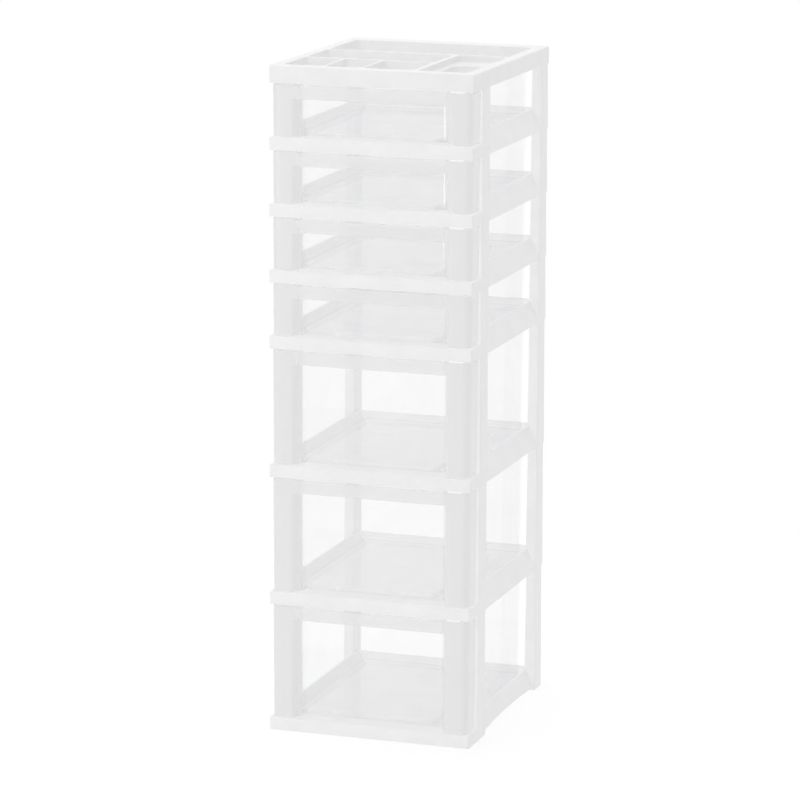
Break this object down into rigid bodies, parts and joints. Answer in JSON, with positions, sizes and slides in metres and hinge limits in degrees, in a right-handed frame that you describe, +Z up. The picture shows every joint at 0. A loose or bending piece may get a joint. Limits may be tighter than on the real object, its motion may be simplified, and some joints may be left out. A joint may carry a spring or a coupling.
{
  "type": "drawer tower",
  "caption": "Tall free-standing plastic drawer tower: clear pull-out drawers, deep ones below shallow ones, in stacked white shelf frames with an organiser tray on top.",
  "frame": {"origin": "centre of the footprint, on the floor that the base frame stands on", "axes": "+Z up, -Y towards the person who opens the drawers, +X to that person's right"},
  "size_m": [0.306, 0.362, 0.975],
  "materials": {
    "white_plastic": "satin",
    "clear_plastic": "clear"
  },
  "bodies": {
    "tower": {"base_frame": "white_plastic", "deep_frame_2": "white_plastic", "deep_frame_3": "white_plastic", "shallow_frame_1": "white_plastic", "shallow_frame_2": "white_plastic", "shallow_frame_3": "white_plastic", "shallow_frame_4": "white_plastic", "organiser_top": "white_plastic"},
    "deep_drawer_1": {"deep_drawer_1": "clear_plastic"},
    "deep_drawer_2": {"deep_drawer_2": "clear_plastic"},
    "deep_drawer_3": {"deep_drawer_3": "clear_plastic"},
    "shallow_drawer_1": {"shallow_drawer_1": "clear_plastic"},
    "shallow_drawer_2": {"shallow_drawer_2": "clear_plastic"},
    "shallow_drawer_3": {"shallow_drawer_3": "clear_plastic"},
    "shallow_drawer_4": {"shallow_drawer_4": "clear_plastic"}
  },
  "joints": [
    {"name": "deep_drawer_1_slide", "type": "slide", "parent": "tower", "child": "deep_drawer_1", "axis": [0, -1, 0], "range_m": [0, 0.25]},
    {"name": "deep_drawer_2_slide", "type": "slide", "parent": "tower", "child": "deep_drawer_2", "axis": [0, -1, 0], "range_m": [0, 0.25]},
    {"name": "deep_drawer_3_slide", "type": "slide", "parent": "tower", "child": "deep_drawer_3", "axis": [0, -1, 0], "range_m": [0, 0.25]},
    {"name": "shallow_drawer_1_slide", "type": "slide", "parent": "tower", "child": "shallow_drawer_1", "axis": [0, -1, 0], "range_m": [0, 0.25]},
    {"name": "shallow_drawer_2_slide", "type": "slide", "parent": "tower", "child": "shallow_drawer_2", "axis": [0, -1, 0], "range_m": [0, 0.25]},
    {"name": "shallow_drawer_3_slide", "type": "slide", "parent": "tower", "child": "shallow_drawer_3", "axis": [0, -1, 0], "range_m": [0, 0.25]},
    {"name": "shallow_drawer_4_slide", "type": "slide", "parent": "tower", "child": "shallow_drawer_4", "axis": [0, -1, 0], "range_m": [0, 0.25]}
  ]
}
